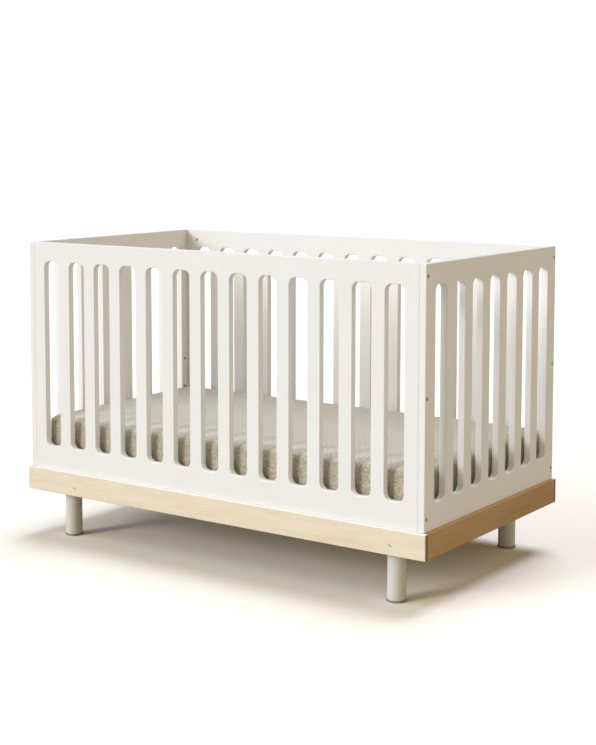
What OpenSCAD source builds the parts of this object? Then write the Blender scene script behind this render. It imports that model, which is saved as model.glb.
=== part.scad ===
// Baby crib: four slotted panels bolted at the corners, standing on a birch base frame
// with four round legs. A slatted mattress support hangs on bolts at one of three heights,
// and carries a mattress in a fitted sheet.
// X runs along the length, Y from front to back and Z up. The origin is on the floor,
// under the middle of the crib.

/* [Interior] */
// Clear length between the end panels
inner_len = 1330; // [1110:1:1600]
// Clear width between the long panels
inner_wid = 711; // [595:1:860]

/* [Panels] */
// Height of the panels
panel_h = 684; // [570:1:820]
// Thickness of the panels
panel_t = 20; // [17:0.5:24]
// Solid rail above the slots
top_rail_h = 56; // [48:1:70]
// Solid rail below the slots
bottom_rail_h = 70; // [60:1:90]
// Width of a slot
slot_w = 58; // [48:1:70]
// Corner radius of a slot
slot_r = 19; // [10:0.5:23]
// Width of a bar between two slots
bar_w = 41; // [34:1:50]
// Narrowest stile at the ends of a long panel
long_stile_min = 41; // [38:1:55]
// Narrowest stile at the edges of an end panel
end_stile_min = 46; // [44:1:60]

/* [Corner joints] */
// Distance of the top bolt from the panels' top edge
top_bolt_inset = 32; // [26:1:40]
// Distance of the bottom bolt from the panels' bottom edge
bottom_bolt_inset = 34; // [26:1:45]
// Thread diameter of the corner bolts
bolt_d = 6; // [5:0.5:8]
// Head diameter of the corner bolts
bolt_head_d = 10; // [9:0.5:12]
// Head height of the corner bolts
bolt_head_h = 5; // [3:0.5:6]
// Depth of the bolt head's top below the panel's face
bolt_recess = 2; // [1:0.5:4]
// Distance of a barrel nut from the end of its panel
barrel_inset = 43.5; // [30:0.5:60]
// Diameter of the barrel nuts
barrel_d = 10; // [9:0.5:12]
// Length of the barrel nuts
barrel_len = 14; // [10:0.5:15]
// Length of the threaded insert at the middle bolt
insert_len = 20; // [14:1:24]
// Diameter of the wooden dowels
dowel_d = 8; // [6:1:10]
// Distance of a locating dowel from the bolt beside it
dowel_offset = 26; // [20:1:32]

/* [Base] */
// Height of the base boards
board_h = 70; // [62:1:90]
// Thickness of the base boards
board_t = 20; // [18:0.5:24]
// Lip of the front and back boards that covers the ends of the side boards
board_lip = 12; // [9:0.5:15]
// Distance that the base stands out past the panels
base_proud = 8.5; // [7:0.5:12]
// Height of the boards' lower edge above the floor
floor_gap = 138; // [110:1:170]
// Height of the leg rails above the boards' lower edge
rail_recess = 12; // [6:1:14]
// Width of the leg rails
leg_rail_w = 110; // [90:1:125]
// Thickness of the leg rails
leg_rail_t = 22; // [18:1:24]
// Short side of the corner blocks
block_side = 45; // [38:1:47]
// Height of the corner blocks
block_h = 30; // [24:1:34]

/* [Legs] */
// Diameter of the legs
leg_d = 50; // [40:1:60]
// Distance of a leg's axis from the end of the base
leg_inset_x = 123.5; // [110:0.5:150]
// Distance of a leg's axis from the front or back of the base
leg_inset_y = 68; // [55:0.5:90]
// Diameter of the glides
glide_d = 54; // [44:1:66]
// Thickness of the glides
glide_h = 5; // [3:0.5:8]

/* [Mattress support] */
// Height of the lowest bolt row above the base
low_row = 54.5; // [48:0.5:60]
// Distance between two bolt rows
row_pitch = 95; // [80:1:110]
// Number of bolt rows
rows = 3; // [2:1:3]
// Distance of the bolt rows from the long panels
row_inset = 14.5; // [14:0.5:20]
// Gap between the support and the end panels
support_end_gap = 11; // [10:0.5:14]
// Gap between the support and the long panels
support_side_gap = 5.5; // [5.5:0.5:10]
// Distance of the support's underside below the top of the base
support_drop = 28; // [26:1:30]
// Width of the support's rails
rail_w = 25; // [22:1:30]
// Height of the support's rails
rail_h = 36; // [30:1:42]
// Width of a slat
slat_w = 80; // [68:1:96]
// Thickness of a slat
slat_t = 12; // [10:0.5:15]
// Number of slats
slats = 10; // [8:1:10]
// Thickness of the hangers' steel
hanger_t = 3; // [2:0.5:3.5]
// Width of the hangers
hanger_w = 28; // [26:1:28]
// Reach of a hanger under the support
hanger_reach = 58; // [50:1:66]

/* [Mattress] */
// Gap all round the mattress
mattress_gap = 9.5; // [9:0.5:15]
// Thickness of the mattress with its sheet
mattress_h = 132; // [100:1:150]
// Corner radius of the mattress, seen from above
mattress_r = 45; // [30:1:60]
// Thickness of the mattress cover
cover_t = 3; // [2:0.5:4]
// Thickness of the fitted sheet
sheet_t = 1.5; // [1:0.5:2]
// Width of the sheet's hem under the mattress
hem_w = 110; // [60:1:140]

/* [Hidden] */
$fn = 64;
eps = 0.5;          // how far a cut runs past the face it opens
fit = 0.05;         // radial gap of a bolt, screw or dowel in its hole
slide_gap = 0.3;    // gap between pieces that slide past each other
screw_d = 4;        // wood screws
screw_head_d = 8;
screw_head_h = 2.2;
strap_t = 2.5;      // offset straps that tie the panels to the base
strap_w = 40;
strap_leg = 32;
strap_inset = 155;  // distance of the outer straps from the interior's corners
strap_screw_len = 14;
dowel_long = 18;    // a dowel's length in an end or an edge
dowel_short = 12;   // a dowel's length in a face
bolt_tip = 10;      // what a bolt shows past its nut
socket_d = 5.7;     // hexagon socket in the head of a corner bolt, across its corners
socket_depth = 2.5;
hanger_bolt_d = 8;
hanger_bolt_in_leg = 30;
tee_barrel_d = 10.5;
tee_barrel_len = 14;
tee_flange_d = 24;
tee_flange_t = 1.5;
support_bolt_head_d = 14;
support_bolt_head_h = 5;
support_insert_d = 9;
support_insert_len = 12;
hook_rise = 18;     // steel above the hook that rests on a bolt
hanger_screw_inset = 10;
hanger_screw_pitch = 16;
frame_screw_d = 5;
frame_screw_len = 60;

base_top = floor_gap + board_h;
crib_top = base_top + panel_h;
panel_x = inner_len / 2 + panel_t / 2;
panel_y = inner_wid / 2 + panel_t / 2;
end_span = inner_wid + 2 * panel_t;
base_x = inner_len / 2 + panel_t + base_proud;
base_y = inner_wid / 2 + panel_t + base_proud;
board_in_x = base_x - board_t;
board_in_y = base_y - board_t;
bolt_top = crib_top - top_bolt_inset;
bolt_mid = base_top + panel_h / 2;
bolt_low = base_top + bottom_bolt_inset;
head_seat = panel_x + panel_t / 2 - bolt_recess - bolt_head_h;
leg_x = base_x - leg_inset_x;
leg_y = base_y - leg_inset_y;
leg_rail_z = floor_gap + rail_recess;
block = min(block_side, leg_inset_x - board_t - leg_rail_w / 2 - 1);  // clear of the leg rail
row_y = inner_wid / 2 - row_inset;
row_z = [for (i = [0:rows - 1]) base_top + low_row + i * row_pitch];
support_x = inner_len / 2 - support_end_gap;
support_y = inner_wid / 2 - support_side_gap;
support_z = base_top - support_drop;
slat_z = support_z + rail_h;
slat_screw_len = slat_t + rail_h / 3;   // stops above the centre rail's own screws
mattress_z = slat_z + slat_t + slide_gap;
mattress_x = inner_len / 2 - mattress_gap;
mattress_y = inner_wid / 2 - mattress_gap;
hanger_out = inner_len / 2 - slide_gap;
hanger_in = hanger_out - hanger_t;
support_bolt_seat = hanger_in - 2 * slide_gap;
ends = [-1, 1];
corners = [["front_left", -1, -1], ["front_right", 1, -1], ["back_left", -1, 1], ["back_right", 1, 1]];

// How many slots fit between two stiles of at least the given width
function slot_count(span, stile) = floor((span - 2 * stile + bar_w) / (slot_w + bar_w));

// ---- placing: each turns its children's +Z to point into or out of the crib

module inward_x(side, x, y, z) {
    translate([side * x, y, z]) rotate([0, -90 * side, 0]) children();
}

module outward_x(side, x, y, z) {
    translate([side * x, y, z]) rotate([0, 90 * side, 0]) children();
}

module inward_y(side, x, y, z) {
    translate([x, side * y, z]) rotate([90 * side, 0, 0]) children();
}

module outward_y(side, x, y, z) {
    translate([x, side * y, z]) rotate([-90 * side, 0, 0]) children();
}

// ---- shared shapes

// A rectangle with round corners, centred
module rounded(w, h, r) {
    square([w - 2 * r, h], center = true);
    square([w, h - 2 * r], center = true);
    for (x = ends, y = ends)
        translate([x * (w / 2 - r), y * (h / 2 - r)]) circle(r);
}

// A screw whose head sits below the origin and whose shank runs up from it
module screw(d, length, head_d, head_h) {
    cylinder(d = d, h = length);
    translate([0, 0, -head_h]) cylinder(d = head_d, h = head_h);
}

// A socket-head bolt, head below the origin
module socket_bolt(length) {
    difference() {
        screw(bolt_d, length, bolt_head_d, bolt_head_h);
        translate([0, 0, -bolt_head_h - eps])
            cylinder(d = socket_d, h = socket_depth + eps, $fn = 6);
    }
}

// A threaded sleeve that runs up from the origin
module sleeve(outer_d, length) {
    difference() {
        cylinder(d = outer_d, h = length);
        translate([0, 0, -eps]) cylinder(d = bolt_d + 2 * fit, h = length + 2 * eps);
    }
}

// The outline of a panel with its slots, its lower edge on the X axis
module slotted_outline(span, stile) {
    count = slot_count(span, stile);
    pitch = slot_w + bar_w;
    slot_h = panel_h - top_rail_h - bottom_rail_h;
    difference() {
        translate([-span / 2, 0]) square([span, panel_h]);
        for (i = [0:count - 1])
            translate([(i - (count - 1) / 2) * pitch, bottom_rail_h + slot_h / 2])
                rounded(slot_w, slot_h, slot_r);
    }
}

module upright(span, stile) {
    rotate([90, 0, 0]) linear_extrude(panel_t, center = true) slotted_outline(span, stile);
}

// ---- panels

module long_panel(side) {
    color("#f1f0ec") difference() {
        translate([0, side * panel_y, base_top]) upright(inner_len, long_stile_min);
        for (e = ends) {
            for (z = [bolt_low, bolt_top]) {
                inward_x(e, inner_len / 2 + eps, side * panel_y, z)
                    cylinder(d = bolt_d + 2 * fit, h = barrel_inset + bolt_tip + eps);
                outward_y(side, e * (inner_len / 2 - barrel_inset), inner_wid / 2 - eps, z)
                    cylinder(d = barrel_d + 2 * fit, h = panel_t / 2 + barrel_d / 2 + eps);
            }
            inward_x(e, inner_len / 2 + eps, side * panel_y, bolt_mid)
                cylinder(d = barrel_d + 2 * fit, h = insert_len + eps);
            inward_x(e, inner_len / 2, side * panel_y, bolt_mid)
                cylinder(d = bolt_d + 2 * fit, h = insert_len + bolt_tip / 2);
            for (z = [bolt_low + dowel_offset, bolt_top - dowel_offset])
                inward_x(e, inner_len / 2 + eps, side * panel_y, z)
                    cylinder(d = dowel_d + 2 * fit, h = dowel_long + eps);
        }
        long_strap_places(side) strap_holes();
    }
}

module end_panel(side) {
    color("#f1f0ec") difference() {
        translate([side * panel_x, 0, base_top]) rotate([0, 0, 90]) upright(end_span, end_stile_min);
        for (e = ends) {
            for (z = [bolt_low, bolt_mid, bolt_top]) {
                outward_x(side, inner_len / 2 - eps, e * panel_y, z)
                    cylinder(d = bolt_d + 2 * fit, h = panel_t + 2 * eps);
                outward_x(side, head_seat, e * panel_y, z)
                    cylinder(d = bolt_head_d + 1, h = panel_t);
            }
            for (z = [bolt_low + dowel_offset, bolt_top - dowel_offset])
                outward_x(side, inner_len / 2 - eps, e * panel_y, z)
                    cylinder(d = dowel_d + 2 * fit, h = dowel_short + eps);
            for (z = row_z)
                outward_x(side, inner_len / 2 - eps, e * row_y, z)
                    cylinder(d = support_insert_d + 2 * fit, h = support_insert_len + eps);
        }
        end_strap_places(side) strap_holes();
    }
}

// ---- corner joints

module at_corner_bolts(heights) {
    for (s = ends, e = ends, z = heights) inward_x(s, head_seat, e * panel_y, z) children();
}

module corner_bolts() {
    color("#b9b9b7") at_corner_bolts([bolt_low, bolt_top])
        socket_bolt(head_seat - inner_len / 2 + barrel_inset + bolt_tip - fit);
}

module middle_bolts() {
    color("#b9b9b7") at_corner_bolts([bolt_mid])
        socket_bolt(head_seat - inner_len / 2 + insert_len);
}

module barrel_nuts() {
    color("#b9b9b7") for (s = ends, e = ends, z = [bolt_low, bolt_top])
        difference() {
            inward_y(e, s * (inner_len / 2 - barrel_inset), panel_y + barrel_d / 2, z)
                cylinder(d = barrel_d, h = barrel_len);
            inward_x(s, inner_len / 2, e * panel_y, z)
                cylinder(d = bolt_d + 2 * fit, h = barrel_inset + bolt_tip);
        }
}

module middle_inserts() {
    color("#c9a960") for (s = ends, e = ends)
        inward_x(s, inner_len / 2, e * panel_y, bolt_mid) sleeve(barrel_d, insert_len);
}

module locating_dowels() {
    color("#dcc596") for (s = ends, e = ends, z = [bolt_low + dowel_offset, bolt_top - dowel_offset])
        inward_x(s, inner_len / 2 + dowel_short, e * panel_y, z)
            cylinder(d = dowel_d, h = dowel_short + dowel_long);
}

// ---- base frame

// Front or back board, rebated at both ends for the side boards
module cross_board(side) {
    color("#e6d3ae") difference() {
        translate([-base_x, side > 0 ? board_in_y : -base_y, floor_gap]) cube([2 * base_x, board_t, board_h]);
        for (s = ends) {
            translate([s > 0 ? board_in_x : -base_x - eps,
                       side > 0 ? board_in_y - eps : -base_y + board_lip, floor_gap - eps])
                cube([board_t + eps, board_t - board_lip + eps, board_h + 2 * eps]);
            corner_screw_places(s, side, true) cylinder(d = screw_d + 2 * fit, h = block_h);
        }
        at_rail_dowels() cylinder(d = dowel_d + 2 * fit, h = dowel_long + dowel_short);
        long_strap_places(side) strap_holes();
    }
}

module side_board(side) {
    color("#e6d3ae") difference() {
        translate([side > 0 ? board_in_x : -base_x, -base_y + board_lip, floor_gap])
            cube([board_t, 2 * (base_y - board_lip), board_h]);
        for (e = ends) corner_screw_places(side, e, false) cylinder(d = screw_d + 2 * fit, h = block_h);
        end_strap_places(side) strap_holes();
    }
}

module at_rail_dowels() {
    for (s = ends, e = ends, dx = [-1, 1] * leg_rail_w * 0.32)
        inward_y(e, s * leg_x + dx, board_in_y + dowel_short, leg_rail_z + leg_rail_t / 2) children();
}

module leg_rail_dowels() {
    color("#dcc596") at_rail_dowels() cylinder(d = dowel_d, h = dowel_long + dowel_short);
}

module leg_rail(side) {
    color("#e6d3ae") difference() {
        translate([side * leg_x - leg_rail_w / 2, -board_in_y, leg_rail_z])
            cube([leg_rail_w, 2 * board_in_y, leg_rail_t]);
        at_rail_dowels() cylinder(d = dowel_d + 2 * fit, h = dowel_long + dowel_short);
        for (e = ends) translate([side * leg_x, e * leg_y, leg_rail_z]) {
            translate([0, 0, -eps]) cylinder(d = hanger_bolt_d + 2 * fit, h = leg_rail_t);
            translate([0, 0, leg_rail_t - tee_barrel_len])
                cylinder(d = tee_barrel_d + 2 * fit, h = tee_barrel_len + eps);
        }
    }
}

// Where a corner block's two screws start: the seat of each head, pointing at its board
module corner_screw_places(s, e, into_cross_board) {
    run = block / 3;
    seat = 2 * run - 8;
    z = floor_gap + 4 + block_h * (into_cross_board ? 0.7 : 0.3);
    if (into_cross_board) outward_y(e, s * (board_in_x - run), board_in_y - seat, z) children();
    else outward_x(s, board_in_x - seat, e * (board_in_y - run), z) children();
}

module corner_block(s, e) {
    color("#e6d3ae") difference() {
        translate([s * board_in_x, e * board_in_y, floor_gap + 4])
            linear_extrude(block_h)
                polygon([[0, 0], [-s * block, 0], [0, -e * block]]);
        for (way = [true, false]) corner_screw_places(s, e, way) {
            cylinder(d = screw_d + 2 * fit, h = block_h);
            translate([0, 0, -block]) cylinder(d = screw_head_d + 1, h = block);
        }
    }
}

module corner_block_screws() {
    color("#c2ae7a") for (c = corners, way = [true, false])
        corner_screw_places(c[1], c[2], way) screw(screw_d, block_h, screw_head_d, screw_head_h);
}

// ---- straps between the panels and the base: +Z points outward at the panel's inner face,
// and +X points up

module long_strap_places(side) {
    far = inner_len / 2 - strap_inset;
    for (x = [-far, 0, far])
        outward_y(side, x, inner_wid / 2, base_top) rotate([0, 0, -90 * side]) children();
}

module end_strap_places(side) {
    far = inner_wid / 2 - strap_inset;
    for (y = [-far, far])
        outward_x(side, inner_len / 2, y, base_top) rotate([0, 0, side > 0 ? 180 : 0]) children();
}

strap_jog = board_in_x - inner_len / 2;

module at_strap_screws() {
    for (y = [-1, 1] * strap_w * 0.28) {
        translate([strap_leg * 0.56, y, -strap_t]) children();
        translate([-strap_leg * 0.56, y, strap_jog - strap_t]) children();
    }
}

module strap_holes() {
    at_strap_screws() cylinder(d = screw_d + 2 * fit, h = strap_screw_len);
}

module offset_strap() {
    difference() {
        union() {
            translate([-strap_t, -strap_w / 2, -strap_t]) cube([strap_leg + strap_t, strap_w, strap_t]);
            translate([-strap_t, -strap_w / 2, -strap_t]) cube([strap_t, strap_w, strap_jog + strap_t]);
            translate([-strap_leg, -strap_w / 2, strap_jog - strap_t]) cube([strap_leg, strap_w, strap_t]);
        }
        strap_holes();
    }
}

module at_straps() {
    for (s = ends) {
        long_strap_places(s) children();
        end_strap_places(s) children();
    }
}

module offset_straps() {
    color("#b9b9b7") at_straps() offset_strap();
}

module strap_screws() {
    color("#b9b9b7") at_straps() at_strap_screws()
        screw(screw_d, strap_screw_len, screw_head_d, screw_head_h);
}

// ---- legs

module leg(s, e) {
    chamfer = 2;
    r = leg_d / 2;
    length = leg_rail_z - glide_h;
    color("#e8e6e0") translate([s * leg_x, e * leg_y, glide_h]) difference() {
        rotate_extrude()
            polygon([[0, 0], [r - chamfer, 0], [r, chamfer], [r, length], [0, length]]);
        translate([0, 0, length - hanger_bolt_in_leg])
            cylinder(d = hanger_bolt_d + 2 * fit, h = hanger_bolt_in_leg + eps);
    }
}

module glide(s, e) {
    rim = 1;
    r = glide_d / 2;
    color("#5a564f") translate([s * leg_x, e * leg_y, 0])
        rotate_extrude() polygon([[0, 0], [r - rim, 0], [r, rim], [r, glide_h], [0, glide_h]]);
}

module leg_hanger_bolts() {
    color("#b9b9b7") for (c = corners)
        translate([c[1] * leg_x, c[2] * leg_y, leg_rail_z - hanger_bolt_in_leg])
            cylinder(d = hanger_bolt_d, h = hanger_bolt_in_leg + leg_rail_t);
}

module leg_tee_nuts() {
    color("#b9b9b7") for (c = corners)
        translate([c[1] * leg_x, c[2] * leg_y, leg_rail_z + leg_rail_t]) difference() {
            union() {
                translate([0, 0, -tee_barrel_len]) cylinder(d = tee_barrel_d, h = tee_barrel_len);
                cylinder(d = tee_flange_d, h = tee_flange_t);
            }
            translate([0, 0, -tee_barrel_len - eps])
                cylinder(d = hanger_bolt_d + 2 * fit, h = tee_barrel_len + tee_flange_t + 2 * eps);
        }
}

// ---- support bolts and their inserts

module support_inserts() {
    color("#c9a960") for (s = ends, e = ends, z = row_z)
        outward_x(s, inner_len / 2, e * row_y, z) sleeve(support_insert_d, support_insert_len);
}

module support_bolts() {
    color("#b9b9b7") for (s = ends, e = ends)
        outward_x(s, support_bolt_seat, e * row_y, row_z[0])
            screw(bolt_d, inner_len / 2 - support_bolt_seat + support_insert_len,
                  support_bolt_head_d, support_bolt_head_h);
}

// ---- mattress support

module long_support_rail(side) {
    color("#e6d3ae") difference() {
        translate([-support_x, side > 0 ? support_y - rail_w : -support_y, support_z])
            cube([2 * support_x, rail_w, rail_h]);
        at_side_frame_screws() cylinder(d = frame_screw_d + 2 * fit, h = frame_screw_len);
        at_slat_screws() cylinder(d = screw_d + 2 * fit, h = slat_screw_len);
        at_hanger_screws() cylinder(d = screw_d + 2 * fit, h = rail_h / 2);
    }
}

module end_support_rail(side) {
    color("#e6d3ae") difference() {
        translate([side > 0 ? support_x - rail_w : -support_x, -support_y + rail_w, support_z])
            cube([rail_w, 2 * (support_y - rail_w), rail_h]);
        at_side_frame_screws() cylinder(d = frame_screw_d + 2 * fit, h = frame_screw_len);
        at_centre_frame_screws() cylinder(d = frame_screw_d + 2 * fit, h = frame_screw_len);
    }
}

module support_centre_rail() {
    length = 2 * (support_x - rail_w);
    color("#e6d3ae") difference() {
        translate([-length / 2, -rail_w / 2, support_z]) cube([length, rail_w, rail_h]);
        at_centre_frame_screws() cylinder(d = frame_screw_d + 2 * fit, h = frame_screw_len);
        at_slat_screws() cylinder(d = screw_d + 2 * fit, h = slat_screw_len);
    }
}

// Two screws hold each end rail to each long rail, and one each end of the centre rail
module at_side_frame_screws() {
    for (s = ends, e = ends, z = [0.3, 0.7] * rail_h)
        inward_y(e, s * (support_x - rail_w / 2), support_y, support_z + z) children();
}

module at_centre_frame_screws() {
    for (s = ends) inward_x(s, support_x, 0, support_z + rail_h / 2) children();
}

module support_frame_screws() {
    color("#b9b9b7") {
        at_side_frame_screws() cylinder(d = frame_screw_d, h = frame_screw_len);
        at_centre_frame_screws() cylinder(d = frame_screw_d, h = frame_screw_len);
    }
}

function slat_x(i) = -support_x + slat_w / 2 + (i - 1) * (2 * support_x - slat_w) / (slats - 1);

// Each slat is screwed to both long rails and to the centre rail
module at_slat_screws() {
    for (i = [1:slats], y = [-1, 0, 1] * (support_y - rail_w / 2)) slat_screw_seat(slat_x(i), y) children();
}

module slat_screw_seat(x, y) {
    translate([x, y, slat_z + slat_t - screw_head_h]) rotate([180, 0, 0]) children();
}

module slat(i) {
    edge_r = 4;
    color("#e6d3ae") difference() {
        translate([slat_x(i), 0, slat_z]) linear_extrude(slat_t) rounded(slat_w, 2 * support_y, edge_r);
        at_slat_screws() {
            cylinder(d = screw_d + 2 * fit, h = slat_t);
            translate([0, 0, -screw_head_h - eps])
                cylinder(d = screw_head_d + 2 * fit, h = screw_head_h + eps);
        }
    }
}

module slat_screws() {
    color("#b9b9b7") at_slat_screws() screw(screw_d, slat_screw_len, screw_head_d, screw_head_h);
}

// ---- hangers: an angle of steel whose upright leg is a fork that drops over a support bolt

module hanger(s, e) {
    slot = bolt_d + 2 * slide_gap;
    hook_top = row_z[0] + bolt_d / 2 + fit;
    under = support_z - hanger_t;
    color("#b9b9b7") difference() {
        translate([s > 0 ? hanger_in : -hanger_out, e * row_y - hanger_w / 2, under]) {
            cube([hanger_t, hanger_w, hook_top + hook_rise - under]);
            translate([s > 0 ? hanger_t - hanger_reach : 0, 0, 0]) cube([hanger_reach, hanger_w, hanger_t]);
        }
        outward_x(s, hanger_in - eps, e * row_y, hook_top - slot / 2)
            cylinder(d = slot, h = hanger_t + 2 * eps);
        translate([s > 0 ? hanger_in - eps : -hanger_out - eps, e * row_y - slot / 2, under - eps])
            cube([hanger_t + 2 * eps, slot, hook_top - slot / 2 - under + eps]);
        head_way = support_bolt_head_d + 2;
        way_len = support_bolt_head_h + 3;
        translate([s > 0 ? hanger_in - way_len : -hanger_in, e * row_y - head_way / 2, under - eps])
            cube([way_len, head_way, hanger_t + 2 * eps]);
        at_hanger_screws() cylinder(d = screw_d + 2 * fit, h = rail_h / 2, center = true);
    }
}

module at_hanger_screws() {
    first = hanger_out - hanger_reach + hanger_screw_inset;
    for (s = ends, e = ends, x = [first, first + hanger_screw_pitch])
        translate([s * x, e * (support_y - rail_w / 2), support_z - hanger_t]) children();
}

module hanger_screws() {
    color("#b9b9b7") at_hanger_screws() screw(screw_d, rail_h / 2, screw_head_d, screw_head_h);
}

// ---- mattress: a foam core in a sewn cover, in a fitted sheet that is open underneath

module mattress_block(inset) {
    translate([0, 0, mattress_z + inset]) linear_extrude(mattress_h - 2 * inset)
        rounded(2 * (mattress_x - inset), 2 * (mattress_y - inset), mattress_r - inset);
}

module fitted_sheet() {
    color("#cdc6b8") difference() {
        mattress_block(0);
        mattress_block(sheet_t);
        translate([0, 0, mattress_z - eps]) linear_extrude(sheet_t + 2 * eps)
            rounded(2 * (mattress_x - hem_w), 2 * (mattress_y - hem_w), mattress_r);
    }
}

module mattress_cover() {
    color("#f4f2ec") difference() {
        mattress_block(sheet_t);
        mattress_block(sheet_t + cover_t);
    }
}

module mattress_core() {
    color("#efe6c8") mattress_block(sheet_t + cover_t);
}

long_panel(-1);  // front_panel
long_panel(1);  // back_panel
end_panel(-1);  // left_end_panel
end_panel(1);  // right_end_panel
corner_bolts();
barrel_nuts();
middle_bolts();
middle_inserts();
locating_dowels();
cross_board(-1);  // base_front_board
cross_board(1);  // base_back_board
side_board(-1);  // base_left_board
side_board(1);  // base_right_board
leg_rail(-1);  // leg_rail_left
leg_rail(1);  // leg_rail_right
leg_rail_dowels();
corner_block_screws();
offset_straps();
strap_screws();
leg_hanger_bolts();
leg_tee_nuts();
support_inserts();
support_bolts();
long_support_rail(-1);  // support_front_rail
long_support_rail(1);  // support_back_rail
end_support_rail(-1);  // support_left_rail
end_support_rail(1);  // support_right_rail
support_centre_rail();
support_frame_screws();
slat_screws();
hanger_screws();
mattress_core();
mattress_cover();
fitted_sheet();
for (c = corners) {
    corner_block(c[1], c[2]);
    leg(c[1], c[2]);
    glide(c[1], c[2]);
    hanger(c[1], c[2]);
}
for (i = [1:slats])
    slat(i);
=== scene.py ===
import math

import bmesh
import bpy
from mathutils import Matrix, Vector


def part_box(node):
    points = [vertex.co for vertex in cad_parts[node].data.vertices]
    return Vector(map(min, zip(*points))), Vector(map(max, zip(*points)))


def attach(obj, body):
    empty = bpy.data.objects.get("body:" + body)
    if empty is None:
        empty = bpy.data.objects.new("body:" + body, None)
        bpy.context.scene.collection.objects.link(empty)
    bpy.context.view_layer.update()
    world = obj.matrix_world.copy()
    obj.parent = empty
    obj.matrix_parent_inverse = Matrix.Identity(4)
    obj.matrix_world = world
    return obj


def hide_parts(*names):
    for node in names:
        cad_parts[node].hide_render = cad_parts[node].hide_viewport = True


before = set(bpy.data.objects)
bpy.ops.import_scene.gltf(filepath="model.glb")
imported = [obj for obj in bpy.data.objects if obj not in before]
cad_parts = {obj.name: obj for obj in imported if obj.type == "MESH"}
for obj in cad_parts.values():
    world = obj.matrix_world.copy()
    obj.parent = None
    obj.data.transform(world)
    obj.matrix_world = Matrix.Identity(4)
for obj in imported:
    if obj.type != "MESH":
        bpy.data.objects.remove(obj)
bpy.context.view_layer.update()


# ---- Camera
# It stands off the right-hand front corner with a long lens and looks slightly down. The lens
# is shifted, so that the uprights stay nearly parallel.
bpy.ops.object.camera_add(
    location=(2.5192, -3.6009, 1.2051),
    rotation=(math.pi / 2 - 0.0888, 0, 0.6153),
)
camera = bpy.context.object
camera.data.lens = 72.18
camera.data.shift_x = 0.0242
camera.data.shift_y = -0.1376
camera.data.clip_end = 200
bpy.context.scene.camera = camera
bpy.context.scene.view_settings.view_transform = "Standard"


# ---- Slotted panels
# Four boards of 20 mm plywood in satin white paint. Rounded slots are routed through them and
# every edge is eased. They meet in butt joints, where the end panels cover the long ones.
panel_low, panel_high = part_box("front_panel")
end_low, end_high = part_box("right_end_panel")
panel_t = panel_high.y - panel_low.y
panel_y = (panel_low.y + panel_high.y) / -2
inner_x = end_low.x
outer_x = end_high.x
outer_y = end_high.y
crib_bottom, crib_top = panel_low.z, panel_high.z
slot_w, slot_pitch, slot_r = 0.058, 0.099, 0.019
slot_low, slot_high = crib_bottom + 0.070, crib_top - 0.056
long_slots, end_slots = 13, 7
edge_r = 0.0024         # eased edges
butt_share = 0.6       # edges at a joint are eased by this share of that
white = (0.86, 0.852, 0.822, 1)


def pick(*pieces):
    """Leaves only these pieces selected, the first of them active."""
    bpy.ops.object.select_all(action="DESELECT")
    for piece in pieces:
        piece.select_set(True)
    bpy.context.view_layer.objects.active = pieces[0]


def settle(piece):
    """Puts a piece's place, turn and size into its mesh."""
    pick(piece)
    bpy.ops.object.transform_apply(location=True, rotation=True, scale=True)
    return piece


def block(name, low, high):
    """A block between two corners, to be cut and eased."""
    low, high = Vector(low), Vector(high)
    bpy.ops.object.select_all(action="DESELECT")
    bpy.ops.mesh.primitive_cube_add(size=1, location=(low + high) / 2)
    bpy.context.object.scale = high - low
    bpy.context.object.name = name
    return settle(bpy.context.object)


def select_edges(piece, test):
    """Opens a piece in edit mode with those edges selected whose bmesh edge passes the test."""
    pick(piece)
    bpy.ops.object.mode_set(mode="EDIT")
    bpy.ops.mesh.select_mode(type="EDGE")
    bpy.ops.mesh.select_all(action="DESELECT")
    mesh = bmesh.from_edit_mesh(piece.data)
    for edge in mesh.edges:
        edge.select = test(edge)
    bmesh.update_edit_mesh(piece.data)


def round_edges(piece, radius, segments, test):
    select_edges(piece, test)
    bpy.ops.mesh.bevel(offset=radius, segments=segments, affect="EDGES")
    bpy.ops.object.mode_set(mode="OBJECT")
    return piece


def along(axis):
    """A test for edges that run along an axis, 0 for X, 1 for Y and 2 for Z."""
    def test(edge):
        run = edge.verts[1].co - edge.verts[0].co
        return abs(run[axis]) > 0.999 * run.length
    return test


def is_sharp(edge):
    return edge.calc_face_angle(0) > math.radians(40)


def apply_modifier(piece, kind, **settings):
    pick(piece)
    modifier = piece.modifiers.new(kind.title(), kind)
    for setting, value in settings.items():
        setattr(modifier, setting, value)
    bpy.ops.object.modifier_apply(modifier=modifier.name)
    return piece


def ease(piece, radius, segments=3):
    """Rounds every sharp edge."""
    return apply_modifier(
        piece, "BEVEL", width=radius, segments=segments, limit_method="ANGLE",
        angle_limit=math.radians(40), miter_outer="MITER_ARC",
    )


def joined(pieces, name):
    pick(*pieces)
    if len(pieces) > 1:
        bpy.ops.object.join()
    bpy.context.object.name = name
    return bpy.context.object


def cut(piece, *tools):
    """Takes the tools' shapes out of a piece. The tools may not overlap each other."""
    tool = joined(tools, "tool")
    apply_modifier(piece, "BOOLEAN", operation="DIFFERENCE", solver="EXACT", object=tool)
    bpy.data.objects.remove(tool)
    return piece


def copied(piece, name, matrix=Matrix.Identity(4)):
    """A copy with its own mesh, moved by a matrix."""
    twin = piece.copy()
    twin.data = piece.data.copy()
    twin.name = name
    bpy.context.collection.objects.link(twin)
    twin.data.transform(matrix)
    if matrix.determinant() < 0:
        twin.data.flip_normals()
    return twin


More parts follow.
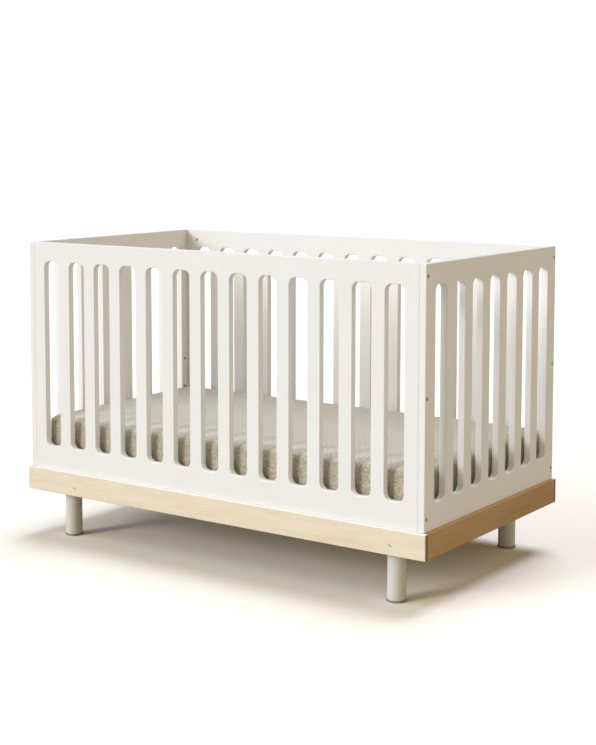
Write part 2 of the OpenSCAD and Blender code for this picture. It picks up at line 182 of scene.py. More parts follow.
def turned(name, rings, sides=32):
    """A shape turned about Z: a disc that is extruded from ring to ring, each (radius, height)."""
    bpy.ops.object.select_all(action="DESELECT")
    radius, height = rings[0]
    bpy.ops.mesh.primitive_circle_add(
        vertices=sides, radius=radius, fill_type="NGON", location=(0, 0, 0)
    )
    piece = bpy.context.object
    piece.name = name
    bpy.ops.object.mode_set(mode="EDIT")
    bpy.ops.mesh.select_all(action="SELECT")
    bpy.ops.transform.translate(value=(0, 0, height))
    for next_radius, next_height in rings[1:]:
        bpy.ops.mesh.extrude_region_move(
            TRANSFORM_OT_translate={"value": (0, 0, next_height - height)}
        )
        if abs(next_radius - radius) > 1e-7:
            share = next_radius / radius
            bpy.ops.transform.resize(value=(share, share, 1), center_override=(0, 0, next_height))
        radius, height = next_radius, next_height
    bpy.ops.mesh.select_all(action="SELECT")
    bpy.ops.mesh.normals_make_consistent(inside=False)
    bpy.ops.object.mode_set(mode="OBJECT")
    return piece


def pointing(axis, side, place):
    """The matrix that turns +Z to one side along an axis (0 X, 1 Y, 2 Z) and moves to a place."""
    way = Vector((0, 0, 0))
    way[axis] = side
    return Matrix.Translation(place) @ way.to_track_quat("Z", "Y").to_matrix().to_4x4()


def finish(piece, material, body, slot, *nodes):
    """Shades flat faces flat, gives a piece its material and body, and hides the CAD nodes it
    replaces. The slot is not used.
    """
    pick(piece)
    bpy.ops.object.shade_smooth_by_angle(angle=math.radians(35))
    apply_modifier(piece, "WEIGHTED_NORMAL", keep_sharp=True)
    piece.data.materials.clear()
    piece.data.materials.append(material)
    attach(piece, body)
    if nodes:
        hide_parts(*nodes)
    return piece


def node_group(name, inputs, outputs):
    """A shader node group; inputs are (name, type, value) and outputs (name, type)."""
    group = bpy.data.node_groups.new(name, "ShaderNodeTree")
    for socket, kind, value in inputs:
        made = group.interface.new_socket(socket, in_out="INPUT", socket_type="NodeSocket" + kind)
        made.default_value = value
    for socket, kind in outputs:
        group.interface.new_socket(socket, in_out="OUTPUT", socket_type="NodeSocket" + kind)
    return group, group.nodes.new("NodeGroupInput"), group.nodes.new("NodeGroupOutput")


def node(tree, kind, inputs=(), **settings):
    """A node with its settings. Each input is a number or colour, or a socket to link from."""
    made = tree.nodes.new("ShaderNode" + kind)
    for setting, value in settings.items():
        setattr(made, setting, value)
    for socket, value in dict(inputs).items():
        if isinstance(value, bpy.types.NodeSocket):
            tree.links.new(value, made.inputs[socket])
        else:
            made.inputs[socket].default_value = value
    return made


def noise(tree, vector, scale, detail=2.0, roughness=0.5):
    """A noise from 0 to 1 on a vector; scale is cells per metre, or one number for each axis."""
    if hasattr(scale, "__len__"):
        vector = node(tree, "Mapping", {"Vector": vector, "Scale": scale}).outputs[0]
        scale = 1
    return node(tree, "TexNoise", {
        "Vector": vector, "Scale": scale, "Detail": detail, "Roughness": roughness,
    }).outputs[0]


def remap(tree, value, from_low, from_high, to_low=0.0, to_high=1.0):
    return node(tree, "MapRange", {
        "Value": value, "From Min": from_low, "From Max": from_high,
        "To Min": to_low, "To Max": to_high,
    }).outputs[0]


def blend(tree, factor, a, b, how="MIX"):
    """Mixes two colours, each a colour or a socket."""
    made = node(tree, "Mix", data_type="RGBA", blend_type=how)
    for socket, value in ((made.inputs[0], factor), (made.inputs[6], a), (made.inputs[7], b)):
        if isinstance(value, bpy.types.NodeSocket):
            tree.links.new(value, socket)
        else:
            socket.default_value = value
    return made.outputs[2]


def new_material(name, **values):
    """A material with its Principled shader, whose uniform values are set on its own sockets."""
    material = bpy.data.materials.new(name)
    material.use_nodes = True
    shader = material.node_tree.nodes["Principled BSDF"]
    for socket, value in values.items():
        shader.inputs[socket.replace("_", " ")].default_value = value
    return material, material.node_tree, shader


def paint_group():
    """Sprayed satin paint: a faint mottle, a fine orange peel and an uneven sheen."""
    group, into, out = node_group(
        "satin paint", [("Vector", "Vector", (0, 0, 0)), ("Color", "Color", white)],
        [("Color", "Color"), ("Roughness", "Float"), ("Height", "Float")],
    )
    place = into.outputs["Vector"]
    mottle = remap(group, noise(group, place, 5, 3), 0.3, 0.7, 0.975, 1.0)
    blue_mottle = remap(group, mottle, 0.975, 1, 0.965, 1)
    tint = node(group, "CombineColor", {0: mottle, 1: mottle, 2: blue_mottle}).outputs[0]
    color = blend(group, 1.0, into.outputs["Color"], tint, "MULTIPLY")
    group.links.new(color, out.inputs["Color"])
    sheen = remap(group, noise(group, place, 11, 4), 0.3, 0.7, 0.40, 0.50)
    group.links.new(sheen, out.inputs["Roughness"])
    peel = node(group, "Math", {
        0: noise(group, place, 420, 2), 1: remap(group, noise(group, place, 24, 2), 0, 1, 0, 0.6),
    }, operation="ADD")
    group.links.new(peel.outputs[0], out.inputs["Height"])
    return group


def painted(name, color, group, peel):
    material, tree, shader = new_material(name, IOR=1.45, Coat_Weight=0.12, Coat_Roughness=0.35)
    place = node(tree, "TexCoord").outputs["Object"]
    surface = node(tree, "Group", node_tree=group)
    tree.links.new(place, surface.inputs["Vector"])
    surface.inputs["Color"].default_value = color
    tree.links.new(surface.outputs["Color"], shader.inputs["Base Color"])
    tree.links.new(surface.outputs["Roughness"], shader.inputs["Roughness"])
    bump = node(tree, "Bump", {
        "Height": surface.outputs["Height"], "Strength": peel, "Distance": 0.0002,
    })
    tree.links.new(bump.outputs[0], shader.inputs["Normal"])
    return material


satin = paint_group()
white_paint = painted("white_paint", white, satin, 0.35)

bolt_low, bolt_high = crib_bottom + 0.034, crib_top - 0.032
bolt_middle = (crib_bottom + crib_top) / 2
dowel_heights = (bolt_low + 0.026, bolt_high - 0.026)
support_row = 0.341
support_heights = [crib_bottom + 0.0545 + 0.095 * row for row in range(3)]
bolt_r, nut_r, dowel_r, insert_r = 0.003, 0.005, 0.004, 0.0045
nut_deep = 0.0435       # from the joint to the barrel nuts' middles
recess = 0.007          # depth of the bolt heads' counterbores
recess_r = 0.0055
barrel_x = inner_x - nut_deep
hole = 0.0001           # gap of a bolt, dowel or nut in its hole
past = 0.0005           # how far a cutting tool runs past the face it opens


def bore(radius, depth, matrix):
    """A tool for a round hole that runs from the matrix's place along its +Z."""
    tool = turned("bore", [(radius + hole, -past), (radius + hole, depth)], 24)
    tool.data.transform(matrix)
    return tool


def eased_panel(name, low, high, slots, across, is_butt):
    """A board with a row of slots along an axis, its edges eased, and less so where it butts."""
    panel = block(name, low, high)
    tools = []
    for slot in range(slots):
        centre = (slot - (slots - 1) / 2) * slot_pitch
        tool_low, tool_high = low - Vector((0.01, 0.01, 0)), high + Vector((0.01, 0.01, 0))
        tool_low[across], tool_high[across] = centre - slot_w / 2, centre + slot_w / 2
        tool_low.z, tool_high.z = slot_low, slot_high
        tools.append(round_edges(block("slot", tool_low, tool_high), slot_r, 10, along(1 - across)))
    cut(panel, *tools)
    for weight, test in ((1, lambda edge: not is_butt(edge)), (butt_share, is_butt)):
        select_edges(panel, lambda edge: is_sharp(edge) and test(edge))
        bpy.ops.transform.edge_bevelweight(value=weight)
        bpy.ops.object.mode_set(mode="OBJECT")
    return apply_modifier(panel, "BEVEL", width=edge_r, segments=4, limit_method="WEIGHT")


for side, name in ((-1, "front_panel"), (1, "back_panel")):
    low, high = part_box(name)
    panel = eased_panel(
        name + "_board", low, high, long_slots, 0,
        lambda edge: all(abs(v.co.x) > inner_x - 1e-4 for v in edge.verts),
    )
    tools = []
    for end in (-1, 1):
        face = end * inner_x
        for height in (bolt_low, bolt_high):
            at = (face, side * panel_y, height)
            tools.append(bore(bolt_r, nut_deep + 0.010, pointing(0, -end, at)))
        tools.append(bore(nut_r, 0.020, pointing(0, -end, (face, side * panel_y, bolt_middle))))
        for height in dowel_heights:
            tools.append(bore(dowel_r, 0.018, pointing(0, -end, (face, side * panel_y, height))))
    cut(panel, *tools)
    mouth = side * (panel_y - panel_t / 2)
    cut(panel, *[
        bore(nut_r, 0.015, pointing(1, side, (end * barrel_x, mouth, height)))
        for end in (-1, 1) for height in (bolt_low, bolt_high)
    ])
    finish(panel, white_paint, "crib", "white_paint", name)

for side, name in ((-1, "left_end_panel"), (1, "right_end_panel")):
    low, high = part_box(name)
    panel = eased_panel(
        name + "_board", low, high, end_slots, 1,
        lambda edge: all(
            abs(v.co.x) < inner_x + 1e-4 and abs(v.co.y) > outer_y - 1e-4 for v in edge.verts
        ),
    )
    tools = []
    for row in (-1, 1):
        for height in (bolt_low, bolt_middle, bolt_high):
            step = turned("step", [
                (bolt_r + hole, -past), (bolt_r + hole, panel_t - recess),
                (recess_r, panel_t - recess), (recess_r, panel_t - 0.0004),
                (recess_r + 0.0007, panel_t + 0.0003),
            ], 32)
            step.data.transform(pointing(0, side, (side * inner_x, row * panel_y, height)))
            tools.append(step)
        for radius, y, heights in (
            (dowel_r, panel_y, dowel_heights), (insert_r, support_row, support_heights)
        ):
            for height in heights:
                mouth = (side * inner_x, row * y, height)
                tools.append(bore(radius, 0.012, pointing(0, side, mouth)))
    cut(panel, *tools)
    finish(panel, white_paint, "crib", "white_paint", name)


# ---- Corner bolts, nuts, inserts and dowels
# Zinc-plated socket-head bolts sit in the end panels' stepped holes. The upper and lower ones
# pull on barrel nuts, whose slotted ends show inside; the middle ones run into brass inserts.
head_seat = outer_x - recess


def metal_group():
    """Plated or turned metal: fine marks round the part and a cloudy finish."""
    group, into, out = node_group(
        "machined metal", [("Vector", "Vector", (0, 0, 0)), ("Color", "Color", (1, 1, 1, 1))],
        [("Color", "Color"), ("Roughness", "Float"), ("Height", "Float")],
    )
    place = into.outputs["Vector"]
    cloud = noise(group, place, 260, 3)
    dull = remap(group, cloud, 0.3, 0.7, 0.82, 1.0)
    tint = node(group, "CombineColor", {0: dull, 1: dull, 2: dull}).outputs[0]
    color = blend(group, 1.0, into.outputs["Color"], tint, "MULTIPLY")
    group.links.new(color, out.inputs["Color"])
    group.links.new(remap(group, cloud, 0.3, 0.7, 0.24, 0.40), out.inputs["Roughness"])
    group.links.new(noise(group, place, (900, 900, 4000), 2), out.inputs["Height"])
    return group


def metal(name, color, group):
    material, tree, shader = new_material(name, Metallic=1.0)
    surface = node(tree, "Group", node_tree=group)
    tree.links.new(node(tree, "TexCoord").outputs["Object"], surface.inputs["Vector"])
    surface.inputs["Color"].default_value = color
    tree.links.new(surface.outputs["Color"], shader.inputs["Base Color"])
    tree.links.new(surface.outputs["Roughness"], shader.inputs["Roughness"])
    bump = node(tree, "Bump", {
        "Height": surface.outputs["Height"], "Strength": 0.15, "Distance": 0.0001,
    })
    tree.links.new(bump.outputs[0], shader.inputs["Normal"])
    return material


machined = metal_group()
zinc = metal("zinc_steel", (0.62, 0.62, 0.61, 1), machined)
brass = metal("brass", (0.60, 0.45, 0.22, 1), machined)


def socket_bolt(name, length, head_r, head_h, socket_r, socket_h):
    """A bolt whose head lies below the origin; its shank runs up +Z and has a pointed end."""
    bolt = turned(name, [
        (head_r - 0.0006, -head_h), (head_r - 0.0002, -head_h + 0.0002), (head_r, -head_h + 0.0006),
        (head_r, 0), (0.00295, 0), (0.00295, length * 0.4), (0.0027, length * 0.4 + 0.0004),
        (0.0027, length - 0.001), (0.0018, length),
    ], 32)
    key = turned("key", [
        (socket_r, -head_h - past), (socket_r, -head_h + socket_h),
        (0.0004, -head_h + socket_h + 0.0012),
    ], 6)
    return cut(bolt, key)


def repeated(pattern, name, matrices):
    """Copies of a pattern at each matrix, joined as one piece. The pattern itself is removed."""
    copies = [copied(pattern, name, matrix) for matrix in matrices]
    bpy.data.objects.remove(pattern)
    return joined(copies, name)


def at_corners(heights, x):
    return [
        pointing(0, -end, (end * x, row * panel_y, height))
        for end in (-1, 1) for row in (-1, 1) for height in heights
    ]


long_bolt = socket_bolt("bolt", 0.0663, 0.005, 0.005, 0.00285, 0.0025)
bolts = repeated(long_bolt, "corner_bolts_steel", at_corners((bolt_low, bolt_high), head_seat))
finish(bolts, zinc, "crib", "zinc_steel", "corner_bolts")
short_bolt = socket_bolt("bolt", 0.0328, 0.005, 0.005, 0.00285, 0.0025)
bolts = repeated(short_bolt, "middle_bolts_steel", at_corners((bolt_middle,), head_seat))
finish(bolts, zinc, "crib", "zinc_steel", "middle_bolts")

nut = turned("nut", [
    (nut_r - 0.0006, 0), (nut_r, 0.0006), (nut_r, 0.0134), (nut_r - 0.0006, 0.014),
], 32)
cut(nut, block("driver_slot", (-0.006, -0.0006, 0.0128), (0.006, 0.0006, 0.015)))
nut.data.transform(Matrix.Rotation(math.radians(90), 4, "Z"))
cut(nut, bore(bolt_r, 0.02, pointing(0, 1, (-0.01, 0, 0.005))))
nuts = repeated(nut, "barrel_nuts_steel", [
    pointing(1, -row, (end * barrel_x, row * (panel_y + 0.005), height))
    for end in (-1, 1) for row in (-1, 1) for height in (bolt_low, bolt_high)
])
finish(nuts, zinc, "crib", "zinc_steel", "barrel_nuts")


def carried(material, *names):
    """Keeps CAD nodes as they are, hidden in their holes, and gives them a material."""
    for name in names:
        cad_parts[name].data.materials.clear()
        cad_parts[name].data.materials.append(material)


carried(brass, "middle_inserts")

insert = turned("insert", [
    (insert_r - 0.0004, 0), (insert_r, 0.0004), (insert_r, 0.0112), (insert_r - 0.0007, 0.012),
], 32)
cut(insert, turned("key", [(0.0036, -past), (0.0031, 0.0004), (0.0031, 0.0125)], 24))
inserts = repeated(insert, "support_inserts_brass", [
    pointing(0, end, (end * inner_x, row * support_row, height))
    for end in (-1, 1) for row in (-1, 1) for height in support_heights
])
finish(inserts, brass, "crib", "brass", "support_inserts")


# ---- Base frame
# Four planed birch boards under a clear matt lacquer. The front and back boards are rebated at
# their ends, so that a narrow lip of them covers the ends of the side boards. The side boards carry
# painted shade, a darker copy of the birch, and the front board's upward faces a painted highlight.
base_low, base_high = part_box("base_front_board")
board_t, board_lip = 0.020, 0.012
base_x, base_y = base_high.x, -base_low.y
board_r = 0.0030
birch_painted_highlight = (0.98, 0.97, 0.93, 1)    # painted highlight: the front board's upward faces are blended to this
birch_pale = (0.87, 0.775, 0.61, 1)
birch_deep = (0.77, 0.645, 0.45, 1)


def grain_group():
    """Birch, its grain along X: soft clouds, long thin streaks, short pores, darker end grain."""
    group, into, out = node_group(
        "birch grain",
        [("Vector", "Vector", (0, 0, 0)), ("End", "Float", 0.0),
         ("Pale", "Color", birch_pale), ("Deep", "Color", birch_deep)],
        [("Color", "Color"), ("Roughness", "Float"), ("Height", "Float")],
    )
    place = into.outputs["Vector"]
    bend = node(group, "VectorMath", {
        0: place, 1: node(group, "CombineXYZ", {
            1: remap(group, noise(group, place, (2.5, 6, 6), 1), 0, 1, -0.012, 0.012),
            2: remap(group, noise(group, place, (2.1, 5, 5), 1), 0, 1, -0.012, 0.012),
        }).outputs[0],
    }, operation="ADD").outputs[0]
    cloud = remap(group, noise(group, bend, (4, 26, 26), 4, 0.55), 0.32, 0.72)
    streak = remap(group, noise(group, bend, (9, 330, 330), 3, 0.6), 0.35, 0.75)
    figure = remap(group, noise(group, bend, (1.6, 75, 75), 3, 0.5), 0.45, 0.62)
    pore = remap(group, noise(group, bend, (120, 1500, 1500), 1), 0.62, 0.75)
    share = remap(group, cloud, 0, 1, 0, 0.45)
    for layer, weight in ((streak, 0.30), (figure, 0.22)):
        added = remap(group, layer, 0, 1, 0, weight)
        share = node(group, "Math", {0: share, 1: added}, operation="ADD").outputs[0]
    wood = blend(group, share, into.outputs["Pale"], into.outputs["Deep"])
    blotch = remap(group, noise(group, bend, (7, 34, 34), 5, 0.7), 0.5, 0.72, 0, 0.4)
    ruddy = blend(group, 0.5, into.outputs["Deep"], (0.86, 0.62, 0.42, 1), "MULTIPLY")
    wood = blend(group, blotch, wood, ruddy)
    wood = blend(group, remap(group, pore, 0, 1, 0, 0.30), wood, (0.45, 0.32, 0.18, 1))
    tissue = noise(group, place, 900, 2)
    end_wood = blend(group, tissue, (0.15, 0.10, 0.055, 1), (0.27, 0.185, 0.105, 1))
    wood = blend(group, into.outputs["End"], wood, end_wood)
    group.links.new(wood, out.inputs["Color"])
    group.links.new(remap(group, streak, 0, 1, 0.52, 0.64), out.inputs["Roughness"])
    relief = node(group, "Math", {0: streak, 1: remap(group, pore, 0, 1, 0, -0.8)}, operation="ADD")
    group.links.new(relief.outputs[0], out.inputs["Height"])
    return group


def birch(name, lengthwise, pale=birch_pale, deep=birch_deep, offset=(0, 0, 0), flecks=()):
    """Birch with its grain along X or Y. A fleck is (place along it, height, slope in degrees).
    Given flecks, upward faces also get a painted highlight.
    """
    material, tree, shader = new_material(name, IOR=1.45)
    texture = node(tree, "TexCoord")
    turn = (0, 0, 0) if lengthwise == 0 else (0, 0, math.radians(90))
    place = node(tree, "Mapping", {
        "Vector": texture.outputs["Object"], "Rotation": turn, "Location": offset,
    }).outputs[0]
    facing = node(tree, "SeparateXYZ", {0: texture.outputs["Normal"]}).outputs[lengthwise]
    end = remap(tree, node(tree, "Math", {0: facing}, operation="ABSOLUTE").outputs[0], 0.55, 0.9)
    surface = node(tree, "Group", node_tree=grain)
    for socket, value in (("Vector", place), ("End", end)):
        tree.links.new(value, surface.inputs[socket])
    surface.inputs["Pale"].default_value = pale
    surface.inputs["Deep"].default_value = deep
    color = surface.outputs["Color"]
    if flecks:
        # Painted highlight: faces turned upwards, the rounded top edge most, are blended towards a
        # pale colour in place of light catching them.
        upward = node(tree, "SeparateXYZ", {0: texture.outputs["Normal"]}).outputs[2]
        color = blend(tree, remap(tree, upward, 0.12, 0.5), color, birch_painted_highlight)
    for at, height, slope in flecks:
        mark = node(tree, "Mapping", {
            "Vector": texture.outputs["Object"], "Location": (at, 0, height),
            "Rotation": (0, math.radians(slope), 0), "Scale": (0.0085, 1000, 0.0019),
        }, vector_type="TEXTURE").outputs[0]
        reach = node(tree, "VectorMath", {0: mark}, operation="LENGTH").outputs["Value"]
        color = blend(tree, remap(tree, reach, 0.5, 1.0, 0.85, 0), color, (0.14, 0.085, 0.045, 1))
    tree.links.new(color, shader.inputs["Base Color"])
    tree.links.new(surface.outputs["Roughness"], shader.inputs["Roughness"])
    bump = node(tree, "Bump", {
        "Height": surface.outputs["Height"], "Strength": 0.25, "Distance": 0.0002,
    })
    tree.links.new(bump.outputs[0], shader.inputs["Normal"])
    return material


grain = grain_group()
birch_x = birch("birch_along", 0)
birch_y = birch("birch_across", 1, offset=(0.37, 0.11, 0.05))
birch_front = birch("birch_front", 0, flecks=((-0.503, 0.163, 40), (0.589, 0.165, 35)))
# Painted shade: the side boards get a darker, browner copy of the birch, in place of the shade that
# falls on them.
birch_shaded_side = birch(
    "birch_shaded_side", 1, (0.50, 0.315, 0.130, 1), (0.40, 0.235, 0.085, 1), offset=(0.81, 0.3, 0.2)
)

for side, name, material in (
    (-1, "base_front_board", birch_front), (1, "base_back_board", birch_x)
):
    low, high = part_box(name)
    board = block(name + "_wood", low, high)
    for end in (-1, 1):
        xs = sorted((end * (base_x - board_t), end * (base_x + 0.01)))
        ys = sorted((side * (base_y - board_t - 0.01), side * (base_y - board_lip)))
        cut(board, block("rebate", (xs[0], ys[0], low.z - 0.01), (xs[1], ys[1], high.z + 0.01)))
    ease(board, board_r)
    finish(board, material, "crib", "birch", name)

for name in ("base_left_board", "base_right_board"):
    board = ease(block(name + "_wood", *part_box(name)), board_r)
    finish(board, birch_shaded_side, "crib", "birch", name)

carried(birch_x, "locating_dowels", "leg_rail_dowels")


# ---- Leg rails and corner blocks
# A rail crosses the base behind each pair of legs, on dowels, and a three-sided block is
# screwed into each corner of the base.
for name in ("leg_rail_left", "leg_rail_right"):
    low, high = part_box(name)
    rail = block(name + "_wood", low, high)
    ease(rail, 0.0015)
    finish(rail, birch_y, "crib", "birch", name)

screw_r, screw_head_r, screw_head_h = 0.002, 0.004, 0.0022


def seats(name, head_h):
    """A matrix for each screw in a CAD node: +Z runs along its shank from under its head."""
    mesh = bmesh.new()
    mesh.from_mesh(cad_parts[name].data)
    bmesh.ops.remove_doubles(mesh, verts=mesh.verts, dist=1e-5)
    seen, places = set(), []
    for start in mesh.verts:
        if start in seen:
            continue
        seen.add(start)
        found = [start]
        for vert in found:
            for edge in vert.link_edges:
                other = edge.other_vert(vert)
                if other not in seen:
                    seen.add(other)
                    found.append(other)
        low = Vector([min(vert.co[i] for vert in found) for i in range(3)])
        high = Vector([max(vert.co[i] for vert in found) for i in range(3)])
        axis = max(range(3), key=lambda i: high[i] - low[i])
        across = [i for i in range(3) if i != axis]
        middle = (low + high) / 2

        def width(at):
            level = [vert.co for vert in found if abs(vert.co[axis] - at) < 1e-4]
            return max(abs(co[i] - middle[i]) for co in level for i in across)

        wider = width(low[axis]) - width(high[axis])
        side = 1 if wider > 1e-4 or (wider > -1e-4 and middle[axis] < 0) else -1
        middle[axis] = (low if side > 0 else high)[axis] + side * head_h
        places.append(pointing(axis, side, middle))
    mesh.free()
    return places


def crossed(screw, top):
    """Cuts a cross recess into a screw's head, whose top lies at that height."""
    for reach_x, reach_y in ((0.0021, 0.00045), (0.00045, 0.0021)):
        cut(screw, block("key", (-reach_x, -reach_y, top - past), (reach_x, reach_y, top + 0.0013)))
    return screw


def pan_screw(length):
    return crossed(turned("screw", [
        (0.0020, -0.0022), (0.0031, -0.0020), (0.0038, -0.0012), (0.0040, -0.0004), (0.0040, 0),
        (screw_r, 0), (screw_r, length * 0.8), (0.0004, length),
    ], 24), -0.0022)


block_seats = seats("corner_block_screws", screw_head_h)
block_bore = 0.040
corners = [
    ("front_left", -1, -1), ("front_right", 1, -1), ("back_left", -1, 1), ("back_right", 1, 1)
]
for corner, sx, sy in corners:
    name = "corner_block_" + corner
    low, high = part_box(name)
    wedge = block(name + "_wood", low, high)
    pick(wedge)
    bpy.ops.object.mode_set(mode="EDIT")
    bpy.ops.mesh.select_all(action="SELECT")
    inner = Vector((low.x if sx > 0 else high.x, high.y if sy > 0 else low.y, 0))
    bpy.ops.mesh.bisect(
        plane_co=inner, plane_no=(-sx, -sy, 0), use_fill=True, clear_outer=True, clear_inner=False
    )
    bpy.ops.object.mode_set(mode="OBJECT")
    for seat in block_seats:
        if all(low[i] < seat.translation[i] < high[i] for i in range(3)):
            cut(wedge, bore(0.0045, block_bore, seat @ Matrix.Translation((0, 0, -block_bore))))
    ease(wedge, 0.001)
    finish(wedge, birch_y, "crib", "birch", name)
screws = repeated(pan_screw(0.030), "corner_block_screws_steel", block_seats)
finish(screws, zinc, "crib", "zinc_steel", "corner_block_screws")


# ---- Legs and glides
# Round legs, turned from solid wood and painted off-white, on hanger bolts. A grey plastic glide
# a little wider than the leg is nailed under each.
leg_low, leg_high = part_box("leg_front_right")
glide_low, glide_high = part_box("glide_front_right")
leg_r = (leg_high.x - leg_low.x) / 2
glide_r = (glide_high.x - glide_low.x) / 2
leg_x, leg_y = (leg_low.x + leg_high.x) / 2, -(leg_low.y + leg_high.y) / 2
leg_paint = painted("leg_paint", (0.745, 0.73, 0.675, 1), satin, 0.3)
glide_plastic, tree, shader = new_material(
    "glide_plastic", Base_Color=(0.30, 0.29, 0.27, 1), IOR=1.5
)
place = node(tree, "TexCoord").outputs["Object"]
rough = remap(tree, noise(tree, place, 300, 3), 0.3, 0.7, 0.45, 0.65)
tree.links.new(rough, shader.inputs["Roughness"])
grainy = node(tree, "Bump", {
    "Height": noise(tree, place, 1800, 2), "Strength": 0.3, "Distance": 0.0002,
})
tree.links.new(grainy.outputs[0], shader.inputs["Normal"])

for corner, sx, sy in corners:
    base = glide_high.z
    leg = turned("leg_" + corner + "_wood", [
        (leg_r - 0.0020, base), (leg_r - 0.0006, base + 0.0006), (leg_r, base + 0.0020),
        (leg_r, leg_high.z - 0.0006), (leg_r - 0.0006, leg_high.z),
    ], 96)
    leg.data.transform(Matrix.Translation((sx * leg_x, sy * leg_y, 0)))
    finish(leg, leg_paint, "crib", "leg_paint", "leg_" + corner)
    foot = turned("glide_" + corner + "_plastic", [
        (glide_r - 0.0022, 0), (glide_r - 0.0008, 0.0004), (glide_r, 0.0016),
        (glide_r, base - 0.0012), (glide_r - 0.0004, base - 0.0004), (glide_r - 0.0012, base),
    ], 96)
    foot.data.transform(Matrix.Translation((sx * leg_x, sy * leg_y, 0)))
    finish(foot, glide_plastic, "crib", "glide_plastic", "glide_" + corner)

rail_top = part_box("leg_rail_left")[1].z
bolt_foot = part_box("leg_hanger_bolts")[0].z
under_legs = [Matrix.Translation((sx * leg_x, sy * leg_y, 0)) for corner, sx, sy in corners]
hanger_r, tee_r, flange_r, tee_h = 0.004, 0.00525, 0.012, 0.014
bolts = repeated(turned("bolt", [
    (hanger_r - 0.0006, bolt_foot), (hanger_r, bolt_foot + 0.0006),
    (hanger_r, rail_top - 0.0006), (hanger_r - 0.0006, rail_top),
], 32), "leg_hanger_bolts_steel", under_legs)
finish(bolts, zinc, "crib", "zinc_steel", "leg_hanger_bolts")
tee = turned("tee", [
    (tee_r, rail_top - tee_h), (tee_r, rail_top), (flange_r, rail_top),
    (flange_r, rail_top + 0.0010), (flange_r - 0.0005, rail_top + 0.0015),
], 48)
cut(tee, bore(hanger_r, tee_h + 0.003, Matrix.Translation((0, 0, rail_top - tee_h - past))))
tees = repeated(tee, "leg_tee_nuts_steel", under_legs)
finish(tees, zinc, "crib", "zinc_steel", "leg_tee_nuts")


# ---- Straps
# Ten offset straps of bent steel stand inside and tie the panels to the base. Each has an upper
# leg on a panel and a lower one on a board, with two pan-head screws in each.
strap_t, strap_w, strap_leg = 0.0025, 0.040, 0.032
strap_jog = base_x - board_t - inner_x
strap_far = inner_x - 0.155, panel_y - panel_t / 2 - 0.155
screw_rows = 0.56 * strap_leg, 0.28 * strap_w


def bent_strip(name, path, width, thickness, bend_r, corner_r):
    """A strip of sheet steel bent along a path of (x, z) in the middle of its thickness."""
    bpy.ops.object.select_all(action="DESELECT")
    bpy.ops.mesh.primitive_plane_add(size=width, location=(0, 0, 0))
    strip = bpy.context.object
    strip.name = name
    select_edges(strip, lambda edge: all(vert.co.x > 0 for vert in edge.verts))
    bpy.ops.mesh.delete(type="VERT")
    bpy.ops.mesh.select_all(action="SELECT")
    bpy.ops.transform.translate(value=(path[0][0] + width / 2, 0, path[0][1]))
    for (x, z), (next_x, next_z) in zip(path, path[1:]):
        bpy.ops.mesh.extrude_region_move(
            TRANSFORM_OT_translate={"value": (next_x - x, 0, next_z - z)}
        )
    bpy.ops.object.mode_set(mode="OBJECT")
    select_edges(strip, lambda edge: (
        all(len(vert.link_edges) == 2 for vert in edge.verts) and along(1)(edge)
    ))
    bpy.ops.mesh.bevel(offset=corner_r, segments=5, affect="VERTICES")
    bpy.ops.object.mode_set(mode="OBJECT")
    round_edges(strip, bend_r, 6, lambda edge: len(edge.link_faces) == 2)
    apply_modifier(strip, "SOLIDIFY", thickness=thickness, offset=0, use_even_offset=True)
    pick(strip)
    bpy.ops.object.mode_set(mode="EDIT")
    bpy.ops.mesh.select_all(action="SELECT")
    bpy.ops.mesh.normals_make_consistent(inside=False)
    bpy.ops.object.mode_set(mode="OBJECT")
    return strip


def standing(outward, place):
    """The matrix that turns +X up and +Z outward, and moves to a place."""
    up, outward = Vector((0, 0, 1)), Vector(outward)
    turn = Matrix((up, outward.cross(up), outward)).transposed()
    return Matrix.Translation(place) @ turn.to_4x4()


mid = strap_t / 2
strap = bent_strip("strap", [
    (strap_leg, -mid), (-mid, -mid), (-mid, strap_jog - mid), (-strap_leg, strap_jog - mid),
], strap_w, strap_t, 0.0027, 0.004)
cut(strap, *[
    bore(screw_r, strap_t + past, Matrix.Translation((
        row * screw_rows[0], side * screw_rows[1], z
    )))
    for row, z in ((1, -strap_t), (-1, strap_jog - strap_t)) for side in (-1, 1)
])
ease(strap, 0.0004, 2)
straps = repeated(strap, "offset_straps_steel", [
    standing((0, side, 0), (x, side * (panel_y - panel_t / 2), crib_bottom))
    for side in (-1, 1) for x in (-strap_far[0], 0, strap_far[0])
] + [
    standing((side, 0, 0), (side * inner_x, y, crib_bottom))
    for side in (-1, 1) for y in (-strap_far[1], strap_far[1])
])
finish(straps, zinc, "crib", "zinc_steel", "offset_straps")
screws = repeated(pan_screw(0.014), "strap_screws_steel", seats("strap_screws", screw_head_h))
finish(screws, zinc, "crib", "zinc_steel", "strap_screws")


# ---- Mattress support
# Birch rails, screwed together, carry ten slats. Four steel hangers under the corners hang on
# bolts in the end panels, which can be moved to any of three heights.
support_parts = ["support_front_rail", "support_back_rail", "support_centre_rail"]
for name in support_parts:
    rail = ease(block(name + "_wood", *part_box(name)), 0.002)
    finish(rail, birch_x, "support", "birch", name)
for name in ("support_left_rail", "support_right_rail"):
    rail = ease(block(name + "_wood", *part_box(name)), 0.002)
    finish(rail, birch_y, "support", "birch", name)

